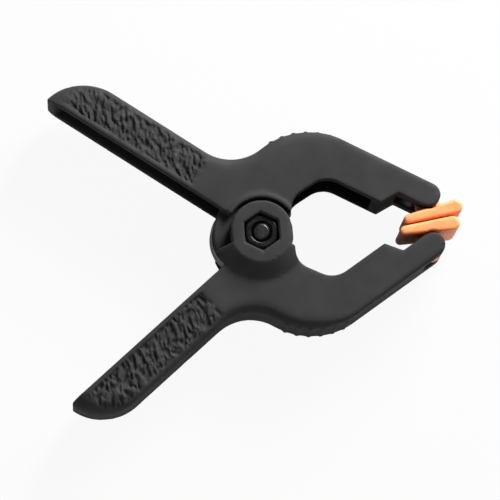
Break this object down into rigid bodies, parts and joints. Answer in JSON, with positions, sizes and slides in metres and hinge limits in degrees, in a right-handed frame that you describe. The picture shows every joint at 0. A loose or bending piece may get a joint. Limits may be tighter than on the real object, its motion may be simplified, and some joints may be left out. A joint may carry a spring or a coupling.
{
  "type": "spring clamp",
  "caption": "Small A-shaped spring clamp: two ribbed plastic arms hinged on a screw, a torsion coil between the handles and swivelling gripping pads.",
  "frame": {"origin": "centre of the rest face of the lower hub boss, on the pivot axis", "axes": "+Z along the pivot axis, +X from the pivot towards the jaws, +Y on the side of arm B"},
  "size_m": [0.0705, 0.058, 0.0174],
  "materials": {
    "arm_plastic": "moulded black nylon, leather grain on the handles, matte elsewhere",
    "pad_plastic": "satin orange soft plastic",
    "spring_steel": "drawn wire, darkened",
    "screw_steel": "dark plated",
    "nut_steel": "black oxide"
  },
  "bodies": {
    "arm_a": {"arm_a": "arm_plastic", "pivot_screw": "screw_steel", "pivot_nut": "nut_steel", "torsion_spring": "spring_steel"},
    "arm_b": {"arm_b": "arm_plastic"},
    "pad_a": {"pad_a": "pad_plastic"},
    "pad_b": {"pad_b": "pad_plastic"}
  },
  "joints": [
    {"name": "jaw_pivot", "type": "hinge", "parent": "arm_a", "child": "arm_b", "pos_m": [0, 0, 0.0087], "axis": [0, 0, 1], "range_deg": [0, 50], "stiffness_Nm_per_rad": 0.25, "springref_deg": -89.95, "deforming": ["torsion_spring"]},
    {"name": "pad_a_swivel", "type": "hinge", "parent": "arm_a", "child": "pad_a", "pos_m": [0.0296, -0.0044, 0.0087], "axis": [0, 0, 1], "range_deg": [0, 18]},
    {"name": "pad_b_swivel", "type": "hinge", "parent": "arm_b", "child": "pad_b", "pos_m": [0.0296, 0.0044, 0.0087], "axis": [0, 0, 1], "range_deg": [-32, 0]}
  ],
  "couplings": [
    {"joint": "pad_a_swivel", "follows": "jaw_pivot", "ratio": 0.36},
    {"joint": "pad_b_swivel", "follows": "jaw_pivot", "ratio": -0.64}
  ]
}
